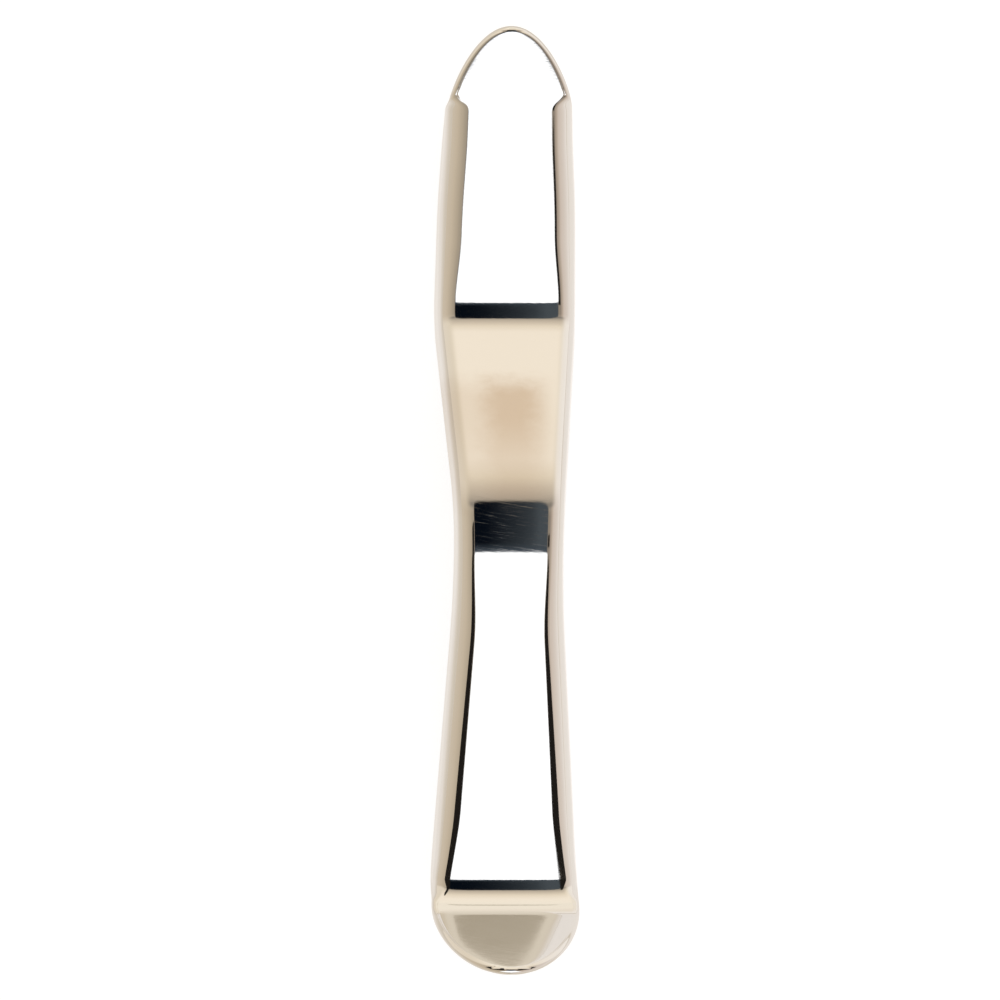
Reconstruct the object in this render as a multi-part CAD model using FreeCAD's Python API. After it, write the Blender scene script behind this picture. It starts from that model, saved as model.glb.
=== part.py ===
import FreeCAD, Part
import math
import os

# Double-ended surgical cheek retractor, pressed from one sheet of stainless steel.
# A long blade, a ramp and a handle form an offset bar: the blade and the handle are
# parallel. Its long edges are turned back into flanges, so that the bar is a shallow
# channel. Both ends run out as a bare plate with a fully rounded rim, and the handle's
# end is a short lip that turns up towards the front.
# Sizes are millimetres. The part lies front face up, as it comes to rest on a table.
# +Y points to the blade's tip and +Z up. The origin is on the table, under the middle.

# Sheet
THICKNESS = 1.5

# Straight stretches of the front face, from the blade's tip to the lip's end
BLADE_LENGTH = 44.5
RAMP_LENGTH = 21.4
HANDLE_LENGTH = 52.4
LIP_LENGTH = 13.2

# Bends, measured on the front face
OFFSET_ANGLE = 31.0
BLADE_BEND_RADIUS = 9.0
CROWN_RADIUS = 29.3
LIP_ANGLE = 61.0
LIP_BEND_RADIUS = 6.0

# Widths over the flanges where the straight side lines would meet
TIP_WIDTH = 18.8
BLADE_WIDTH = 22.1
BEND_WIDTH = 22.7
WAIST_WIDTH = 16.5
LIP_WIDTH = 23.85

# Roundings between the side lines: in the blade's middle, and at the waist, where it
# starts with the crown
BLADE_MIDDLE = 29.5
BLADE_ROUNDING = 8.0
WAIST_ROUNDING = 30.0

# Rounded ends in plan: the length of the rounding, and how full its curve is
TIP_ROUNDING = 14.0
TIP_FULLNESS = 1.55
LIP_ROUNDING = 16.6
LIP_FULLNESS = 2.0

# Flanges: the rounding of the shoulder, the turn of the flange, and its whole depth
SHOULDER_RADIUS = 2.7
FLANGE_TURN = 82.0
FLANGE_DEPTH = 5.6

# How much the shoulder's rounding swells between the bends, and over what run it narrows
# again before the lip
SHOULDER_SWELL = 0.8
LIP_SWELL_RUN = 11.0

# Bare plate at each end, and the runs over which shoulder and depth grow from it; the
# lip's shoulder is full where the lip's bend starts
TIP_PLATE = 10.6
TIP_SHOULDER_RUN = 3.6
TIP_DEPTH_RUN = 10.0
LIP_PLATE = 15.0
LIP_DEPTH_RUN = 9.0

# What is left of a flange on the bare plate, so that each section has the same edges
LEAST_TURN = 3.0
LEAST_STRAIGHT = 0.05
LEAST_FLOOR = 0.2

# Steps of the loft: the most that the sheet turns in one step of a bend, the steps of a
# shoulder's run, of a slight curve and of an end, and the gap left at an end
BEND_STEP = 4.0
SHOULDER_STEPS = 5
SLIGHT_STEPS = 3
END_STEPS = 12
END_GAP = 0.02

# Spacing of the points that find where the part touches the table
REST_STEP = 0.25

RIM = THICKNESS / 2
OFFSET = math.radians(OFFSET_ANGLE)
LIP_TURN = math.radians(LIP_ANGLE)
FULL_TURN = math.radians(FLANGE_TURN)

# Length and turn of each stretch of the front face; a turn is positive towards the front
STRETCHES = [
    (BLADE_LENGTH, 0.0),
    (BLADE_BEND_RADIUS * OFFSET, OFFSET),
    (RAMP_LENGTH, 0.0),
    (CROWN_RADIUS * OFFSET, -OFFSET),
    (HANDLE_LENGTH, 0.0),
    (LIP_BEND_RADIUS * LIP_TURN, LIP_TURN),
    (LIP_LENGTH, 0.0),
]
STARTS = [sum(length for length, turn in STRETCHES[:i]) for i in range(len(STRETCHES) + 1)]
TOTAL = STARTS[-1]

# Corners of the side line: the stretch that rounds each one, and the width at its middle
CORNERS = [
    (BLADE_MIDDLE - BLADE_ROUNDING / 2, BLADE_MIDDLE + BLADE_ROUNDING / 2, BLADE_WIDTH),
    (STARTS[1], STARTS[2], BEND_WIDTH),
    (STARTS[3], STARTS[3] + WAIST_ROUNDING, WAIST_WIDTH),
    (STARTS[5], STARTS[6], LIP_WIDTH),
]

# Where shoulder and depth are none, and where they are whole
TIP_SHOULDER = (TIP_PLATE, TIP_PLATE + TIP_SHOULDER_RUN)
TIP_DEPTH = (TIP_PLATE, TIP_PLATE + TIP_DEPTH_RUN)
LIP_SHOULDER = (TOTAL - LIP_PLATE, STARTS[5])
LIP_DEPTH = (TOTAL - LIP_PLATE, TOTAL - LIP_PLATE - LIP_DEPTH_RUN)
BLADE_SWELL = (STARTS[1], CORNERS[0][1])
CROWN_SWELL = (STARTS[4], CORNERS[2][1])
LIP_SWELL = (STARTS[5], STARTS[5] - LIP_SWELL_RUN)


def spine(position, tilt):
    """Point (y, z) and slope of the front face's middle line, where the blade slopes by tilt."""
    y, z, slope = 0.0, 0.0, tilt
    for (length, turn), start in zip(STRETCHES, STARTS):
        run = min(max(position - start, 0.0), length)
        if turn == 0.0:
            y -= run * math.cos(slope)
            z += run * math.sin(slope)
        else:
            radius = length / turn
            end = slope + run / radius
            y -= radius * (math.sin(end) - math.sin(slope))
            z += radius * (math.cos(slope) - math.cos(end))
            slope = end
    return y, z, slope


def past_corner(position, start, end):
    """Distance past the middle of a corner, which is rounded from its start to its end."""
    if position <= start:
        return 0.0
    if position >= end:
        return position - (start + end) / 2
    return (position - start) ** 2 / 2 / (end - start)


def side_line(position):
    """Half width over the flanges, before the ends are rounded."""
    middles = [0.0] + [(start + end) / 2 for start, end, width in CORNERS]
    halves = [TIP_WIDTH / 2] + [width / 2 for start, end, width in CORNERS]
    runs = zip(middles, middles[1:], halves, halves[1:])
    slopes = [(half_b - half_a) / (b - a) for a, b, half_a, half_b in runs] + [0.0]
    half = halves[0] + slopes[0] * position
    for (start, end, width), before, after in zip(CORNERS, slopes, slopes[1:]):
        half += (after - before) * past_corner(position, start, end)
    return half


def end_share(distance, rounding, fullness):
    """Share of the side line's width at a distance from a rounded end."""
    share = 1 - min(max(distance / rounding, 0.0), 1.0)
    return math.sqrt(1 - share ** fullness)


def half_width(position, inset=0.0):
    """Half width of the plan outline, moved in from its edge by the inset."""
    to_tip = position - inset
    to_lip = TOTAL - position - inset
    half = side_line(position) - inset
    half *= end_share(to_tip, TIP_ROUNDING - inset, TIP_FULLNESS)
    return half * end_share(to_lip, LIP_ROUNDING - inset, LIP_FULLNESS)


def grown(position, run):
    """Smooth step from 0 at the run's start to 1 at its end."""
    none, whole = run
    share = min(max((position - none) / (whole - none), 0.0), 1.0)
    return share * share * (3 - 2 * share)


def flange(position):
    """Rounding of the shoulder, turn of the flange, and the length of its straight part."""
    swell = grown(position, BLADE_SWELL)
    swell += grown(position, CROWN_SWELL) * grown(position, LIP_SWELL)
    radius = SHOULDER_RADIUS + SHOULDER_SWELL * swell
    shoulder = grown(position, TIP_SHOULDER) * grown(position, LIP_SHOULDER)
    depth = grown(position, TIP_DEPTH) * grown(position, LIP_DEPTH)
    least_turn = math.radians(LEAST_TURN)
    turn = least_turn + (FULL_TURN - least_turn) * shoulder
    rounded = radius * (1 - math.cos(FULL_TURN)) + RIM * (1 + math.cos(FULL_TURN))
    longest = (FLANGE_DEPTH - rounded) / math.sin(FULL_TURN)
    return radius, turn, LEAST_STRAIGHT + (longest - LEAST_STRAIGHT) * depth


def section_sizes(position):
    """Half floor, shoulder, flange turn, straight, half thickness and reach of the rim."""
    half = half_width(position)
    end = min(position, TOTAL - position, RIM)
    half_thick = math.sqrt(RIM ** 2 - (RIM - end) ** 2)
    reach = half - half_width(position, RIM)
    radius, turn, straight = flange(position)
    narrow = min(1.0, half / (2 * radius))
    turn *= narrow
    straight *= narrow
    beside = (radius - RIM) * math.sin(turn) + straight * math.cos(turn)
    reach = min(reach, (half - beside) * (1 - LEAST_FLOOR))
    return half - reach - beside, radius, turn, straight, half_thick, reach


def lowest(position):
    """How far the section reaches below the front face."""
    floor, radius, turn, straight, half_thick, reach = section_sizes(position)
    middle = radius - (radius - RIM) * math.cos(turn) + straight * math.sin(turn)
    return middle + half_thick


def rest_tilt():
    """Slope of the blade when the part lies on the flanges under its two concave bends."""
    crown = (STARTS[3] + STARTS[4]) / 2
    count = round(TOTAL / REST_STEP)
    places = [TOTAL * (i + 0.5) / count for i in range(count)]
    tilt = -OFFSET / 3
    for attempt in range(20):
        feet = []
        for side in ([p for p in places if p < crown], [p for p in places if p > crown]):
            under = []
            for place in side:
                y, z, slope = spine(place, tilt)
                depth = lowest(place)
                under.append((z - depth * math.cos(slope), y - depth * math.sin(slope)))
            feet.append(min(under))
        (z_blade, y_blade), (z_lip, y_lip) = feet
        tilt += math.atan2(z_blade - z_lip, y_blade - y_lip)
    return tilt


def curve(points, weights):
    """One rational curve of the second degree through every other point."""
    spans = (len(points) - 1) // 2
    knots = [i / spans for i in range(spans + 1)]
    times = [3] + [2] * (spans - 1) + [3]
    line = Part.BSplineCurve()
    line.buildFromPolesMultsKnots(points, times, knots, False, 2, weights)
    return line.toShape()


def section(position, tilt):
    """Closed outline of the sheet, across the part, at a position along its front face."""
    floor, radius, turn, straight, half_thick, reach = section_sizes(position)
    y, z, slope = spine(position, tilt)
    across, down = math.sin(turn), math.cos(turn)
    front_lift, back_lift = half_thick - RIM, -half_thick - RIM
    half_weight = math.cos(turn / 2)
    quarter = math.sqrt(0.5)

    def place(side, x, n):
        return FreeCAD.Vector(side * x, y + n * math.sin(slope), z + n * math.cos(slope))

    def half(side):
        """Edges of one side, from the front floor round the rim to the back floor."""
        def shoulder(lift):
            bend = radius + lift
            corner = floor + bend * math.tan(turn / 2)
            return [
                place(side, floor, lift),
                place(side, corner, lift),
                place(side, floor + bend * across, lift - bend * (1 - down)),
            ]

        front = shoulder(front_lift)
        back = shoulder(back_lift)
        out = place(side, straight * down, -straight * across) - place(side, 0, 0)
        rim_out = place(side, reach * down, -reach * across) - place(side, 0, 0)
        front_end = front[2] + out
        back_end = back[2] + out
        middle = (front_end + back_end) * 0.5
        rim = [front_end, front_end + rim_out, middle + rim_out, back_end + rim_out, back_end]
        return [
            curve(front, [1, half_weight, 1]),
            Part.LineSegment(front[2], front_end).toShape(),
            curve(rim, [1, quarter, 1, quarter, 1]),
            Part.LineSegment(back_end, back[2]).toShape(),
            curve(back[::-1], [1, half_weight, 1]),
        ]

    front_ends = place(-1, floor, front_lift), place(1, floor, front_lift)
    back_ends = place(1, floor, back_lift), place(-1, floor, back_lift)
    front_floor = Part.LineSegment(*front_ends).toShape()
    back_floor = Part.LineSegment(*back_ends).toShape()
    right = half(1)
    left = [edge.reversed() for edge in half(-1)[::-1]]
    return Part.Wire([front_floor] + right + [back_floor] + left)


def loft_places():
    """Positions of the loft's sections, from the tip to the lip."""
    curved = [(*run, SHOULDER_STEPS) for run in (TIP_SHOULDER, LIP_SHOULDER)]
    curved += [(start, end, SLIGHT_STEPS) for start, end, width in CORNERS]
    swells = (BLADE_SWELL, CROWN_SWELL, LIP_SWELL)
    curved += [(*run, SLIGHT_STEPS) for run in (TIP_DEPTH, LIP_DEPTH, *swells)]
    for (length, turn), start in zip(STRETCHES, STARTS):
        if turn:
            steps = math.ceil(abs(math.degrees(turn)) / BEND_STEP)
            curved.append((start, start + length, steps))
    breaks = sorted({round(place, 6) for start, end, steps in curved for place in (start, end)})
    to_tip, to_lip = breaks[0] - END_GAP, TOTAL - breaks[-1] - END_GAP
    squares = [(i / END_STEPS) ** 2 for i in range(END_STEPS)]
    places = [END_GAP + to_tip * square for square in squares]
    for start, end in zip(breaks, breaks[1:]):
        steps = 1
        for low, high, count in curved:
            low, high = min(low, high), max(low, high)
            if low < (start + end) / 2 < high:
                steps = max(steps, math.ceil(count * (end - start) / (high - low) - 0.01))
        places += [start + (end - start) * i / steps for i in range(steps)]
    places.append(breaks[-1])
    return places + [TOTAL - END_GAP - to_lip * square for square in squares[::-1]]


def retractor():
    """The whole part, lofted from the tip to the lip and set down on the table."""
    tilt = rest_tilt()
    shape = Part.makeLoft([section(place, tilt) for place in loft_places()], True, True)
    box = shape.optimalBoundingBox(False, False)
    shape.translate(FreeCAD.Vector(-box.Center.x, -box.Center.y, -box.ZMin))
    return shape


os.makedirs("parts", exist_ok=True)
part = retractor()
part.exportStep("parts/retractor.step")
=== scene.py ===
import math

import bmesh
import bpy
from mathutils import Matrix, Vector


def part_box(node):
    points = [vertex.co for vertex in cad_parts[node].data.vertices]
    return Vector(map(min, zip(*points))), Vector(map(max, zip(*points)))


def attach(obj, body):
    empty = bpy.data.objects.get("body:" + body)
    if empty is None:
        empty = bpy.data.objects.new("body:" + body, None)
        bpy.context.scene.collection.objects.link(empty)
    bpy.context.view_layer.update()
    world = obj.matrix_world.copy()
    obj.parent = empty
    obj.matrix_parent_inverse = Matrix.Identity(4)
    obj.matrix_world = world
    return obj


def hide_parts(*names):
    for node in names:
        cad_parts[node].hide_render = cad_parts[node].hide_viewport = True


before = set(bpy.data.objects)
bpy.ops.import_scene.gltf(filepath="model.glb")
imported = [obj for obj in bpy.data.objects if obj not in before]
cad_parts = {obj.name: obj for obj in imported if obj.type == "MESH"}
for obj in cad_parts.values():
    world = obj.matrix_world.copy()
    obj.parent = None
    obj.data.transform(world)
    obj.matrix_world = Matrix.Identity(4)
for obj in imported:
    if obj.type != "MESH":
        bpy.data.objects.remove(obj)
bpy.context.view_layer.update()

# Pressed surgical retractor of mirror-polished sheet steel, seen from above.
# The sheet is built from the part's own sizes, in millimetres, as one fine skin.

THICKNESS = 1.5
BLADE_LENGTH, RAMP_LENGTH, HANDLE_LENGTH, LIP_LENGTH = 44.5, 21.4, 52.4, 13.2
OFFSET = math.radians(31.0)
LIP_TURN = math.radians(61.0)
BLADE_BEND_RADIUS, CROWN_RADIUS, LIP_BEND_RADIUS = 9.0, 29.3, 6.0
TIP_WIDTH, BLADE_WIDTH, BEND_WIDTH, WAIST_WIDTH, LIP_WIDTH = 18.8, 22.1, 22.7, 16.5, 23.85
BLADE_MIDDLE, BLADE_ROUNDING, WAIST_ROUNDING = 29.5, 8.0, 30.0
TIP_ROUNDING, TIP_FULLNESS = 14.0, 1.55
LIP_ROUNDING, LIP_FULLNESS = 16.6, 2.0
SHOULDER_RADIUS, SHOULDER_SWELL, LIP_SWELL_RUN = 2.7, 0.8, 11.0
FULL_TURN = math.radians(82.0)
FLANGE_DEPTH = 5.6
TIP_PLATE, TIP_SHOULDER_RUN, TIP_DEPTH_RUN = 10.6, 3.6, 10.0
LIP_PLATE, LIP_DEPTH_RUN = 15.0, 9.0
LEAST_TURN = math.radians(3.0)
LEAST_STRAIGHT, LEAST_FLOOR = 0.05, 0.2
REST_TILT = math.radians(-10.942)

# What the skin adds to the part's sizes: a lightly cambered floor that sags near its edges
FLOOR_CAMBER, FLOOR_SAG, SAG_POWER = math.radians(0.4), math.radians(3.0), 7
FLOOR_SHARES = (0.0, 0.3, 0.55, 0.68, 0.76, 0.82, 0.87, 0.91, 0.94, 0.97, 1.0)

# Steps of the skin round its section and along the part
FRONT_ARC_STEPS, BACK_ARC_STEPS, RIM_STEPS = 22, 16, 18
END_RIM_RINGS, END_PLATE_RINGS, END_CROWDING = 12, 26, 1.3

RIM = THICKNESS / 2
STRETCHES = [
    (BLADE_LENGTH, 0.0), (BLADE_BEND_RADIUS * OFFSET, OFFSET), (RAMP_LENGTH, 0.0),
    (CROWN_RADIUS * OFFSET, -OFFSET), (HANDLE_LENGTH, 0.0),
    (LIP_BEND_RADIUS * LIP_TURN, LIP_TURN), (LIP_LENGTH, 0.0),
]
STARTS = [sum(length for length, turn in STRETCHES[:i]) for i in range(len(STRETCHES) + 1)]
TOTAL = STARTS[-1]
CORNERS = [
    (BLADE_MIDDLE - BLADE_ROUNDING / 2, BLADE_MIDDLE + BLADE_ROUNDING / 2, BLADE_WIDTH),
    (STARTS[1], STARTS[2], BEND_WIDTH),
    (STARTS[3], STARTS[3] + WAIST_ROUNDING, WAIST_WIDTH),
    (STARTS[5], STARTS[6], LIP_WIDTH),
]
TIP_SHOULDER = (TIP_PLATE, TIP_PLATE + TIP_SHOULDER_RUN)
TIP_DEPTH = (TIP_PLATE, TIP_PLATE + TIP_DEPTH_RUN)
LIP_SHOULDER = (TOTAL - LIP_PLATE, STARTS[5])
LIP_DEPTH = (TOTAL - LIP_PLATE, TOTAL - LIP_PLATE - LIP_DEPTH_RUN)
BLADE_SWELL = (STARTS[1], CORNERS[0][1])
CROWN_SWELL = (STARTS[4], CORNERS[2][1])
LIP_SWELL = (STARTS[5], STARTS[5] - LIP_SWELL_RUN)

# The camera looks down from a little to the left, far off, as in a product photograph
SIDE_VIEW = 4.6
CAMERA_DISTANCE = 3.2
PICTURE_PIXELS = 1000
PIXELS_PER_MM = 6.277
ROLL = 0.002
AIM = (0.0, 0.0, 0.008)
AIM_PIXEL = (507.9, 500.1)
SENSOR_WIDTH = 36

# Steel: its tones, buffing lines in two directions, a painted reflection that makes the ramp darker and
# browner, and, in metres, where that patch and the crown's streaks lie
STEEL_GREY, STEEL_BRIGHT = (0.725, 0.705, 0.680, 1), (0.745, 0.730, 0.710, 1)
# The second tone on the next line is the colour of a painted reflection: a darker, browner patch on the
# ramp.
STEEL_LINE, STEEL_PAINTED_REFLECTION = (0.66, 0.64, 0.61, 1), (0.57, 0.49, 0.415, 1)
LINE_ANGLE, LINE_SCALE = -9, (220, 5200, 900)
CROSS_ANGLE, CROSS_SCALE = 24, (180, 2600, 700)
WISP_SCALE = (260, 420, 300)
REFLECTION_PATCH_MIDDLE, REFLECTION_PATCH_SIDE = 0.0004, (0.0085, 0.0045)
REFLECTION_PATCH_UPPER, REFLECTION_PATCH_LOWER, REFLECTION_PATCH_FOOT = (0.0212, 0.0165), (0.004, 0.014), (-0.004, 0.002)
REFLECTION_PATCH_WIDTH_MM = (7.0, 1.2)
CROWN_START, CROWN_END = (0.004, -0.001), (-0.0125, -0.0085)

# Table, and its colour in the steel by the distance from the part in millimetres: painted shade, darker
# and browner farther from the part
TABLE_REACH = 6.0
TABLE_COLOUR, TABLE_GLOW = (0.33, 0.345, 0.37, 1), 0.80
PART_SIDE, PART_END = 11, 75
# Painted shade: as the steel sees it, the table is darker and browner the farther it lies from the part.
TABLE_IN_STEEL = [
    (0, 1.0, 0.95, 0.90), (7, 0.97, 0.91, 0.85), (18, 0.80, 0.72, 0.62),
    (40, 0.70, 0.62, 0.50), (200, 0.66, 0.58, 0.46)]

# Walls of the studio by the side angle, towards the lip's end and towards the tip's end,
# and the wall beyond the tip by the lean, each as (degrees, red, green, blue)
WALLS_AT_LIP = [
    (-180, 1.00, 0.93, 0.85), (-125, 0.97, 0.88, 0.78), (-110, 0.88, 0.78, 0.67),
    (-92, 0.71, 0.62, 0.50), (-60, 0.66, 0.56, 0.43), (-30, 0.53, 0.45, 0.34),
    (-12, 0.42, 0.36, 0.28), (12, 0.30, 0.25, 0.20), (24, 0.52, 0.43, 0.35),
    (36, 0.72, 0.62, 0.54), (60, 0.80, 0.72, 0.65), (75, 0.88, 0.81, 0.75),
    (86, 0.96, 0.92, 0.87), (110, 1.05, 1.02, 0.99), (180, 1.0, 0.98, 0.95)]
WALLS_AT_TIP = [
    (-180, 1.00, 0.93, 0.85), (-112, 0.95, 0.86, 0.77), (-90, 0.88, 0.79, 0.66),
    (-30, 0.86, 0.76, 0.60), (0, 0.95, 0.83, 0.66), (16, 0.86, 0.76, 0.62),
    (30, 0.90, 0.82, 0.70), (46, 1.00, 0.93, 0.84), (86, 1.02, 0.97, 0.91),
    (180, 1.0, 0.98, 0.95)]
WALL_BEYOND_TIP = [
    (9, 0.16, 0.15, 0.14), (12, 0.42, 0.37, 0.30), (15, 0.58, 0.50, 0.40),
    (21, 0.74, 0.64, 0.51), (28, 0.93, 0.82, 0.65), (34, 1.00, 0.89, 0.73),
    (41, 1.07, 0.965, 0.81), (52, 1.06, 0.97, 0.82), (60, 1.02, 0.94, 0.80),
    (72, 1.03, 0.95, 0.81), (88, 0.99, 0.90, 0.77)]
TABLE_BELOW = (0.95, 0.93, 0.90, 1)
STUDIO_STRENGTH = 1.12

# Dark ceiling and white window over the part, in degrees of side and lean
CEILING_LEFT, CEILING_RIGHT = (0.002, 0.004, 0.008, 1), (0.070, 0.085, 0.098, 1)
CEILING_AT_WINDOW = (0.055, 0.072, 0.092, 1)
CEILING_SHIFT, CEILING_HALF, CEILING_LOW, CEILING_HIGH = 0.9, 6.9, -28, 12.5
WINDOW_COLOUR = (1.42, 1.45, 1.50, 1)
WINDOW_HALF, WINDOW_LOW, WINDOW_EDGE = 7, -64, -19.4
WINDOW_SPREAD, SPREAD_START = 0.8, -25

# Cards that only the steel sees: name, colour, height in metres and corners in millimetres
CARD_BLACK, CARD_SHADE = (0.016, 0.014, 0.012, 1), (0.68, 0.605, 0.475, 1)
SHADE_MIDDLE, SHADE_HALF, SHADE_TAPER, SHADE_CORNERS = (20.4, 190), (18, 15), 2.0, 28
SHADE_TURNS = [2 * math.pi * i / SHADE_CORNERS for i in range(SHADE_CORNERS)]
CARDS = [
    ("wing_left", CARD_BLACK, 0.092,
     [(-12, -4), (-20, -6), (-26, -12), (-26, -38), (-72, -97), (-12, -97)]),
    ("wing_right", CARD_BLACK, 0.092, [(24, -40), (37, -44), (96, -96), (24, -96)]),
    ("blade_edge", CARD_BLACK, 0.300, [(66, -94), (108, -94), (108, -50), (66, -50)]),
    ("lip_shade", CARD_SHADE, 0.150,
     [(SHADE_MIDDLE[0] + (SHADE_HALF[0] - SHADE_TAPER * math.sin(a)) * math.cos(a),
       SHADE_MIDDLE[1] + SHADE_HALF[1] * math.sin(a)) for a in SHADE_TURNS]),
]


def spine(position):
    """Point (y, z) and slope of the front face's middle line."""
    y, z, slope = 0.0, 0.0, REST_TILT
    for (length, turn), start in zip(STRETCHES, STARTS):
        run = min(max(position - start, 0.0), length)
        if turn == 0.0:
            y -= run * math.cos(slope)
            z += run * math.sin(slope)
        else:
            radius = length / turn
            end = slope + run / radius
            y -= radius * (math.sin(end) - math.sin(slope))
            z += radius * (math.cos(slope) - math.cos(end))
            slope = end
    return y, z, slope


def past_corner(position, start, end):
    """How far the position is past a corner that is rounded from start to end."""
    if position <= start:
        return 0.0
    if position >= end:
        return position - (start + end) / 2
    return (position - start) ** 2 / 2 / (end - start)


def side_line(position):
    """Half width of the part before its two ends are rounded."""
    middles = [0.0] + [(start + end) / 2 for start, end, width in CORNERS]
    halves = [TIP_WIDTH / 2] + [width / 2 for start, end, width in CORNERS]
    runs = zip(middles, middles[1:], halves, halves[1:])
    slopes = [(half_b - half_a) / (b - a) for a, b, half_a, half_b in runs] + [0.0]
    half = halves[0] + slopes[0] * position
    for (start, end, width), slope, after in zip(CORNERS, slopes, slopes[1:]):
        half += (after - slope) * past_corner(position, start, end)
    return half


def end_share(distance, rounding, fullness):
    """Share of the width that is left at a distance from a rounded end."""
    share = 1 - min(max(distance / rounding, 0.0), 1.0)
    return math.sqrt(1 - share ** fullness)


def half_width(position, inset=0.0):
    """Half width at the position, of the outline moved in by the inset."""
    half = side_line(position) - inset
    half *= end_share(position - inset, TIP_ROUNDING - inset, TIP_FULLNESS)
    return half * end_share(TOTAL - position - inset, LIP_ROUNDING - inset, LIP_FULLNESS)


def grown(position, run):
    """Smooth step from 0 at the run's first position to 1 at its second."""
    none, whole = run
    share = min(max((position - none) / (whole - none), 0.0), 1.0)
    return share * share * (3 - 2 * share)


def ring(position):
    """Closed outline of the sheet across the part: points (x, depth along the normal)."""
    half = half_width(position)
    end = min(position, TOTAL - position, RIM)
    half_thick = math.sqrt(RIM ** 2 - (RIM - end) ** 2)
    reach = half - half_width(position, RIM)
    swell = grown(position, BLADE_SWELL)
    swell += grown(position, CROWN_SWELL) * grown(position, LIP_SWELL)
    radius = SHOULDER_RADIUS + SHOULDER_SWELL * swell
    turn = grown(position, TIP_SHOULDER) * grown(position, LIP_SHOULDER)
    turn = LEAST_TURN + (FULL_TURN - LEAST_TURN) * turn
    shoulder_depth = radius * (1 - math.cos(FULL_TURN)) + RIM * (1 + math.cos(FULL_TURN))
    longest = (FLANGE_DEPTH - shoulder_depth) / math.sin(FULL_TURN)
    straight = grown(position, TIP_DEPTH) * grown(position, LIP_DEPTH)
    straight = LEAST_STRAIGHT + (longest - LEAST_STRAIGHT) * straight
    narrow = min(1.0, half / (2 * radius))
    turn *= narrow
    straight *= narrow
    beside = (radius - RIM) * math.sin(turn) + straight * math.cos(turn)
    reach = min(reach, (half - beside) * (1 - LEAST_FLOOR))
    floor = half - reach - beside
    sag = min(FLOOR_SAG, turn / 2)
    camber = min(FLOOR_CAMBER, turn / 8)
    straight -= min(straight / 2, floor * (camber / 2 + (sag - camber) / SAG_POWER))

    def face(bend, lift, steps):
        """Half floor, lightly cambered and sagging near its edge, and the shoulder's arc."""
        edge = floor + bend * math.sin(sag)
        inner = []
        for share in FLOOR_SHARES:
            drop = camber * share ** 2 / 2 + (sag - camber) * share ** SAG_POWER / SAG_POWER
            inner.append((edge * share, lift - drop * edge))
        drop = inner[-1][1] + bend * (math.cos(sag) - 1)
        angles = [sag + (turn - sag) * i / steps for i in range(1, steps + 1)]
        arc = [(floor + bend * math.sin(a), drop + bend * math.cos(a) - bend * math.cos(sag))
               for a in angles]
        return inner + arc

    front = face(radius + half_thick - RIM, half_thick - RIM, FRONT_ARC_STEPS)
    back = face(radius - half_thick - RIM, -half_thick - RIM, BACK_ARC_STEPS)[::-1]
    out = (straight * math.cos(turn), -straight * math.sin(turn))
    tops = [(x + out[0], n + out[1]) for x, n in (front[-1], back[0])]
    middle = ((tops[0][0] + tops[1][0]) / 2, (tops[0][1] + tops[1][1]) / 2)
    side = list(front)
    for share in (1 / 3, 2 / 3):
        side.append((front[-1][0] + out[0] * share, front[-1][1] + out[1] * share))
    for i in range(RIM_STEPS + 1):
        a = math.pi * i / RIM_STEPS
        up, along = half_thick * math.cos(a), reach * math.sin(a)
        x = middle[0] + up * math.sin(turn) + along * math.cos(turn)
        side.append((x, middle[1] + up * math.cos(turn) - along * math.sin(turn)))
    for share in (2 / 3, 1 / 3):
        side.append((back[0][0] + out[0] * share, back[0][1] + out[1] * share))
    side += back
    return side + [(-x, n) for x, n in side[-2:0:-1]]


def end_places(plate):
    """Distances from an end over its rim and its plate, closer together near the rim."""
    turns = [math.pi / 2 * (i + 0.3) / END_RIM_RINGS for i in range(END_RIM_RINGS)]
    shares = [(i / END_PLATE_RINGS) ** END_CROWDING for i in range(END_PLATE_RINGS + 1)]
    return [RIM * (1 - math.cos(a)) for a in turns] + [RIM + (plate - RIM) * s for s in shares]


def places():
    """Positions of the skin's rings: fine in the bends, the run-outs and the ends."""
    counts = [(TIP_PLATE, 26), (TIP_SHOULDER[1], 26), (STARTS[1], 26), (STARTS[2], 12),
              (STARTS[3], 44), (STARTS[4], 44), (STARTS[5], 34), (TOTAL - LIP_PLATE, 10)]
    ends = [mark for mark, count in counts[1:]] + [STARTS[6]]
    found = end_places(TIP_PLATE) + [TOTAL - distance for distance in end_places(LIP_LENGTH)]
    for (start, count), end in zip(counts, ends):
        found += [start + (end - start) * i / count for i in range(count)]
    return sorted({round(position, 5) for position in found})


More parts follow.
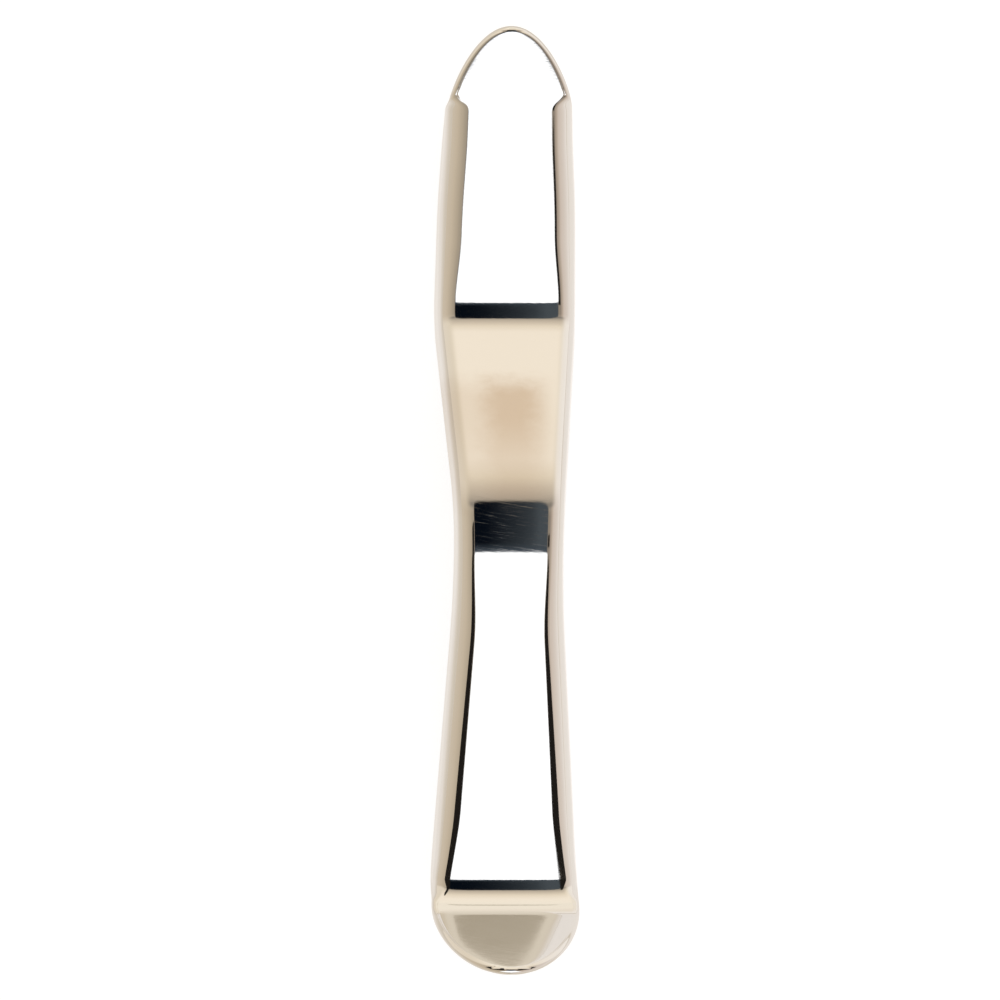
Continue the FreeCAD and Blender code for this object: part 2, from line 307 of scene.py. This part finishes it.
def sheet():
    """The pressed sheet as one closed skin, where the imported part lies."""
    rings = []
    for position in places():
        y, z, slope = spine(position)
        rings.append([(x, y + n * math.sin(slope), z + n * math.cos(slope)) for x, n in ring(position)])
    y, z, slope = spine(0.0)
    tip = (0.0, y - RIM * math.sin(slope), z - RIM * math.cos(slope))
    y, z, slope = spine(TOTAL)
    end = (0.0, y - RIM * math.sin(slope), z - RIM * math.cos(slope))
    points = [p for r in rings for p in r] + [tip, end]
    low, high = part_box("retractor")
    mean_y = (min(p[1] for p in points) + max(p[1] for p in points)) / 2
    down = min(p[2] for p in points)
    middle = (low[1] + high[1]) / 2
    count = len(rings[0])
    faces = []
    for i in range(len(rings) - 1):
        a, b = i * count, (i + 1) * count
        faces += [(a + j, a + (j + 1) % count, b + (j + 1) % count, b + j) for j in range(count)]
    first, last = len(points) - 2, len(points) - 1
    base = (len(rings) - 1) * count
    faces += [(first, (j + 1) % count, j) for j in range(count)]
    faces += [(last, base + j, base + (j + 1) % count) for j in range(count)]
    placed = [(x / 1000, (y - mean_y) / 1000 + middle, (z - down) / 1000 + low[2]) for x, y, z in points]
    mesh = bpy.data.meshes.new("pressed_sheet")
    mesh.from_pydata(placed, [], faces)
    shape = bmesh.new()
    shape.from_mesh(mesh)
    bmesh.ops.recalc_face_normals(shape, faces=shape.faces)
    shape.to_mesh(mesh)
    shape.free()
    for polygon in mesh.polygons:
        polygon.use_smooth = True
    return added("pressed_sheet", mesh)


def added(name, data):
    """A new object with the data, in the scene."""
    made = bpy.data.objects.new(name, data)
    bpy.context.collection.objects.link(made)
    return made


class Nodes:
    """Short words for the nodes of one material or world."""

    def __init__(self, tree):
        self.tree = tree
        tree.nodes.clear()

    def new(self, kind, **settings):
        node = self.tree.nodes.new(kind)
        for name, value in settings.items():
            setattr(node, name, value)
        return node

    def join(self, source, target):
        self.tree.links.new(source, target)

    def put(self, socket, value):
        if isinstance(value, bpy.types.NodeSocket):
            self.join(value, socket)
        else:
            socket.default_value = value

    def math(self, operation, a, b=0.0, c=0.0):
        node = self.new("ShaderNodeMath", operation=operation)
        for socket, value in zip(node.inputs, (a, b, c)):
            self.put(socket, value)
        return node.outputs[0]

    def step(self, value, start, end):
        """Smooth step of the value from 0 at the start to 1 at the end."""
        node = self.new("ShaderNodeMapRange", interpolation_type="SMOOTHSTEP")
        node.clamp = True
        for name, given in (("Value", value), ("From Min", start), ("From Max", end)):
            self.put(node.inputs[name], given)
        return node.outputs["Result"]

    def mix(self, share, a, b):
        node = self.new("ShaderNodeMix", data_type="RGBA")
        self.put(node.inputs[0], share)
        self.put(node.inputs[6], a)
        self.put(node.inputs[7], b)
        return node.outputs[2]

    def graded(self, value, stops):
        """Colour by the value, between stops of (value, red, green, blue) from low to high."""
        low, high = stops[0][0], stops[-1][0]
        node = self.new("ShaderNodeValToRGB")
        self.join(self.math("DIVIDE", self.math("SUBTRACT", value, low), high - low), node.inputs[0])
        elements = node.color_ramp.elements
        while len(elements) < len(stops):
            elements.new(0.5)
        for element, (place, *colour) in zip(elements, stops):
            element.position = (place - low) / (high - low)
        for element, (place, *colour) in zip(elements, stops):
            element.color = (*colour, 1)
        return node.outputs[0]

    def noise(self, vector, scale, detail=2.0, roughness=0.5):
        node = self.new("ShaderNodeTexNoise")
        self.put(node.inputs["Vector"], vector)
        for name, value in (("Scale", scale), ("Detail", detail), ("Roughness", roughness)):
            node.inputs[name].default_value = value
        return node.outputs[0]

    def turned(self, vector, angle, scale):
        """The vector turned about Z by degrees and then scaled along its axes."""
        turn = self.new("ShaderNodeMapping", vector_type="TEXTURE")
        turn.inputs["Rotation"].default_value = (0, 0, math.radians(angle))
        self.join(vector, turn.inputs["Vector"])
        sized = self.new("ShaderNodeMapping")
        sized.inputs["Scale"].default_value = scale
        self.join(turn.outputs[0], sized.inputs["Vector"])
        return sized.outputs[0]

    def split(self, vector):
        """The vector's x, y and z."""
        node = self.new("ShaderNodeSeparateXYZ")
        self.join(vector, node.inputs[0])
        return tuple(node.outputs)

    def bump(self, height, strength, distance):
        node = self.new("ShaderNodeBump")
        node.inputs["Strength"].default_value = strength
        node.inputs["Distance"].default_value = distance
        self.join(height, node.inputs["Height"])
        return node


def reflection_patch_and_crown_streaks(n, place):
    """Where a painted reflection makes the ramp darker and browner, and where the crown is streaked,
    both from 0 to 1.
    """
    x, y, z = n.split(place)
    # Painted reflection: a darker, browner patch on the ramp, strongest in its middle, with ruffled
    # edges.
    ruffle = n.math("SUBTRACT", n.noise(n.turned(place, 0, WISP_SCALE), 1.0, 4.0, 0.6), 0.5)
    off_middle = n.math("MULTIPLY", n.math("ABSOLUTE", n.math("SUBTRACT", x, REFLECTION_PATCH_MIDDLE)), 1000)
    off_middle = n.math("MULTIPLY_ADD", ruffle, 3.5, off_middle)
    painted_reflection = n.math("MULTIPLY_ADD", n.step(off_middle, *REFLECTION_PATCH_WIDTH_MM), 0.6, 0.4)
    ruffled = n.math("MULTIPLY_ADD", ruffle, 0.003, y)
    painted_reflection = n.math("MULTIPLY", painted_reflection, n.step(ruffled, *REFLECTION_PATCH_UPPER))
    painted_reflection = n.math("MULTIPLY", painted_reflection, n.math("MULTIPLY_ADD", n.step(y, *REFLECTION_PATCH_LOWER), 0.5, 0.5))
    painted_reflection = n.math("MULTIPLY", painted_reflection, n.step(y, *REFLECTION_PATCH_FOOT))
    painted_reflection = n.math("MULTIPLY", painted_reflection, n.step(x, *REFLECTION_PATCH_SIDE))
    crown = n.math("MULTIPLY", n.step(y, *CROWN_START), n.step(y, *CROWN_END))
    return painted_reflection, crown


def polished_steel():
    """Mirror-polished stainless steel with fine buffing lines, faint waves and a painted reflection, a
    darker brownish patch, on the ramp.
    """
    material = bpy.data.materials.new("polished_steel")
    material.use_nodes = True
    n = Nodes(material.node_tree)
    place = n.new("ShaderNodeTexCoord").outputs["Object"]
    lines = n.noise(n.turned(place, LINE_ANGLE, LINE_SCALE), 1.0, 3.0, 0.6)
    cross = n.noise(n.turned(place, CROSS_ANGLE, CROSS_SCALE), 1.0, 2.0, 0.55)
    cloud = n.noise(place, 95, 3.0, 0.5)
    painted_reflection, crown = reflection_patch_and_crown_streaks(n, place)
    shader = n.new("ShaderNodeBsdfPrincipled")
    shader.inputs["Metallic"].default_value = 1.0
    tone = n.mix(cloud, STEEL_GREY, STEEL_BRIGHT)
    tone = n.mix(n.math("MULTIPLY", n.step(lines, 0.62, 0.86), 0.25), tone, STEEL_LINE)
    # Painted reflection: the patch mixes the darker, browner tone into the ramp's colour.
    tone = n.mix(painted_reflection, tone, STEEL_PAINTED_REFLECTION)
    n.join(tone, shader.inputs["Base Color"])
    streak = n.math("MULTIPLY", n.step(lines, 0.5, 0.8), n.math("MULTIPLY_ADD", crown, 0.15, 0.03))
    rough = n.math("ADD", n.math("MULTIPLY_ADD", cloud, 0.03, 0.035), streak)
    n.join(rough, shader.inputs["Roughness"])
    buffed = n.math("MULTIPLY_ADD", cross, 0.35, n.math("MULTIPLY", lines, 0.65))
    fine = n.bump(buffed, 0.09, 0.00002)
    wave = n.bump(n.noise(place, 28, 1.0, 0.4), 0.12, 0.0004)
    n.join(wave.outputs[0], fine.inputs["Normal"])
    n.join(fine.outputs[0], shader.inputs["Normal"])
    output = n.new("ShaderNodeOutputMaterial")
    n.join(shader.outputs[0], output.inputs["Surface"])
    return material


def table_white():
    """White table, warmer where the steel mirrors it, with painted shade there that grows darker and
    browner away from the part, and clear from underneath.
    """
    material = bpy.data.materials.new("floor_white")
    material.use_nodes = True
    n = Nodes(material.node_tree)
    shader = n.new("ShaderNodeBsdfPrincipled")
    shader.inputs["Base Color"].default_value = TABLE_COLOUR
    shader.inputs["Roughness"].default_value = 0.9
    shader.inputs["Specular IOR Level"].default_value = 0.0
    x, y, z = n.split(n.new("ShaderNodeTexCoord").outputs["Object"])
    left = n.math("MULTIPLY", x, -1000)
    endways = n.math("MULTIPLY", n.math("ABSOLUTE", y), 1000)
    away = n.math("MAXIMUM", n.math("SUBTRACT", left, PART_SIDE), n.math("SUBTRACT", endways, PART_END))
    away = n.math("MAXIMUM", away, n.math("MULTIPLY", left, -0.1))
    path = n.new("ShaderNodeLightPath").outputs
    # Painted shade: to glossy rays the table glows darker and browner the farther it lies from the part.
    warm = n.mix(path["Is Glossy Ray"], (1, 1, 1, 1), n.graded(away, TABLE_IN_STEEL))
    n.join(warm, shader.inputs["Emission Color"])
    seen = n.math("MAXIMUM", path["Is Camera Ray"], path["Is Glossy Ray"])
    seen = n.math("MAXIMUM", seen, path["Is Transmission Ray"])
    n.join(n.math("MULTIPLY", seen, TABLE_GLOW), shader.inputs["Emission Strength"])
    one_sided = n.new("ShaderNodeMixShader")
    n.join(n.new("ShaderNodeNewGeometry").outputs["Backfacing"], one_sided.inputs[0])
    n.join(shader.outputs[0], one_sided.inputs[1])
    n.join(n.new("ShaderNodeBsdfTransparent").outputs[0], one_sided.inputs[2])
    output = n.new("ShaderNodeOutputMaterial")
    n.join(one_sided.outputs[0], output.inputs["Surface"])
    return material


def rounded(n, off, width, lean, low, high, corner, corner_lean):
    """1 inside a box with rounded corners: off up to the width, lean from low to high."""
    across = n.math("MAXIMUM", n.math("SUBTRACT", off, n.math("SUBTRACT", width, corner)), 0)
    across = n.math("DIVIDE", across, corner)
    middle, half = (low + high) / 2, (high - low) / 2 - corner_lean
    along = n.math("ABSOLUTE", n.math("SUBTRACT", lean, middle))
    along = n.math("MAXIMUM", n.math("SUBTRACT", along, half), 0)
    along = n.math("DIVIDE", along, corner_lean)
    out = n.math("SQRT", n.math("MULTIPLY_ADD", across, across, n.math("MULTIPLY", along, along)))
    return n.step(out, 1.12, 0.88)


def studio_world():
    """Soft studio round the part: a white window, a dark ceiling and warm pale walls.

    side is how far a direction leans across the part, and lean how far along it, as a flat
    sheet that leans so would show it, so that a straight channel has straight reflections.
    """
    world = bpy.data.worlds.new("studio")
    bpy.context.scene.world = world
    world.use_nodes = True
    n = Nodes(world.node_tree)
    x, y, z = n.split(n.new("ShaderNodeTexCoord").outputs["Generated"])
    degree = 180 / math.pi
    turned = n.math("ARCTAN2", x, z)
    side = n.math("SUBTRACT", n.math("MULTIPLY", turned, degree), SIDE_VIEW)
    flat = n.math("DIVIDE", n.math("MULTIPLY", y, 2), n.math("ADD", n.math("COSINE", turned), 1.0001))
    flat = n.math("MINIMUM", n.math("MAXIMUM", flat, -1), 1)
    lean = n.math("MULTIPLY", n.math("ARCSINE", flat), degree)
    off = n.math("ABSOLUTE", side)

    # Walls, which change from the lip's end to the tip's end over the part
    made = n.mix(n.step(lean, 2, 22), n.graded(side, WALLS_AT_LIP), n.graded(side, WALLS_AT_TIP))
    centre = n.math("MULTIPLY", n.step(off, 60, 6), n.step(lean, 6, 11))
    made = n.mix(centre, made, n.graded(lean, WALL_BEYOND_TIP))

    # Dark ceiling over the part, a little lighter on the right and near the window
    ceiling = n.mix(n.step(side, -0.7, 1.7), CEILING_LEFT, CEILING_RIGHT)
    ceiling = n.mix(n.step(lean, -13, -20.5), ceiling, CEILING_AT_WINDOW)
    shifted = n.math("ABSOLUTE", n.math("ADD", side, CEILING_SHIFT))
    covered = rounded(n, shifted, CEILING_HALF, lean, CEILING_LOW, CEILING_HIGH, 6, 8)
    made = n.mix(covered, made, ceiling)

    # White window, wider where it comes down
    below = n.math("MAXIMUM", n.math("SUBTRACT", SPREAD_START, lean), 0)
    wide = n.math("MULTIPLY_ADD", below, WINDOW_SPREAD, WINDOW_HALF)
    made = n.mix(rounded(n, off, wide, lean, WINDOW_LOW, WINDOW_EDGE, 5.5, 2.2), made, WINDOW_COLOUR)

    # Pale table round the part, for what looks below the horizon
    made = n.mix(n.step(z, 0.02, -0.02), made, TABLE_BELOW)
    background = n.new("ShaderNodeBackground")
    background.inputs["Strength"].default_value = STUDIO_STRENGTH
    n.join(made, background.inputs["Color"])
    white = n.new("ShaderNodeBackground")
    white.inputs["Color"].default_value = (1, 1, 1, 1)
    both = n.new("ShaderNodeMixShader")
    n.join(n.new("ShaderNodeLightPath").outputs["Is Camera Ray"], both.inputs[0])
    n.join(background.outputs[0], both.inputs[1])
    n.join(white.outputs[0], both.inputs[2])
    output = n.new("ShaderNodeOutputWorld")
    n.join(both.outputs[0], output.inputs["Surface"])


def glowing(name, colour):
    """Material that gives off the colour and reflects nothing."""
    material = bpy.data.materials.new(name)
    material.use_nodes = True
    n = Nodes(material.node_tree)
    shader = n.new("ShaderNodeEmission")
    shader.inputs["Color"].default_value = colour
    n.join(shader.outputs[0], n.new("ShaderNodeOutputMaterial").inputs["Surface"])
    return material


def cards():
    """Cards over the part: black beside the window and beside the blade, grey over the lip."""
    for name, colour, height, corners in CARDS:
        mesh = bpy.data.meshes.new(name)
        points = [(x / 1000, y / 1000, height) for x, y in corners]
        mesh.from_pydata(points, [], [tuple(range(len(points)))])
        mesh.materials.append(glowing(name, colour))
        card = added(name, mesh)
        card.visible_camera = card.visible_diffuse = card.visible_shadow = False


def table():
    """Wide flat table under the part."""
    mesh = bpy.data.meshes.new("floor")
    reach = TABLE_REACH
    corners = [(-reach, -reach, 0), (reach, -reach, 0), (reach, reach, 0), (-reach, reach, 0)]
    mesh.from_pydata(corners, [], [(0, 1, 2, 3)])
    mesh.materials.append(table_white())
    added("floor", mesh)


def camera():
    """The photograph's camera, so far off that its picture is almost without perspective."""
    data = bpy.data.cameras.new("camera")
    data.sensor_width = SENSOR_WIDTH
    span = PICTURE_PIXELS / PIXELS_PER_MM / 1000
    data.lens = data.sensor_width * CAMERA_DISTANCE / span
    data.clip_start, data.clip_end = 0.05, 30
    angle = math.radians(SIDE_VIEW)
    back = Vector((-math.sin(angle), 0, math.cos(angle)))
    right = Vector((math.cos(angle), 0, math.sin(angle)))
    up = Vector((0, 1, 0))
    right, up = (right + up * ROLL).normalized(), (up - right * ROLL).normalized()
    pixel = span / PICTURE_PIXELS
    off_x, off_y = (place - PICTURE_PIXELS / 2 for place in AIM_PIXEL)
    middle = Vector(AIM) - right * off_x * pixel + up * off_y * pixel
    turn = Matrix((right, up, back)).transposed().to_4x4()
    made = added("camera", data)
    made.matrix_world = Matrix.Translation(middle + back * CAMERA_DISTANCE) @ turn
    bpy.context.scene.camera = made


retractor = sheet()
retractor.data.materials.append(polished_steel())
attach(retractor, "root")
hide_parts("retractor")
table()
cards()
studio_world()
camera()
bpy.context.scene.view_settings.view_transform = "Standard"
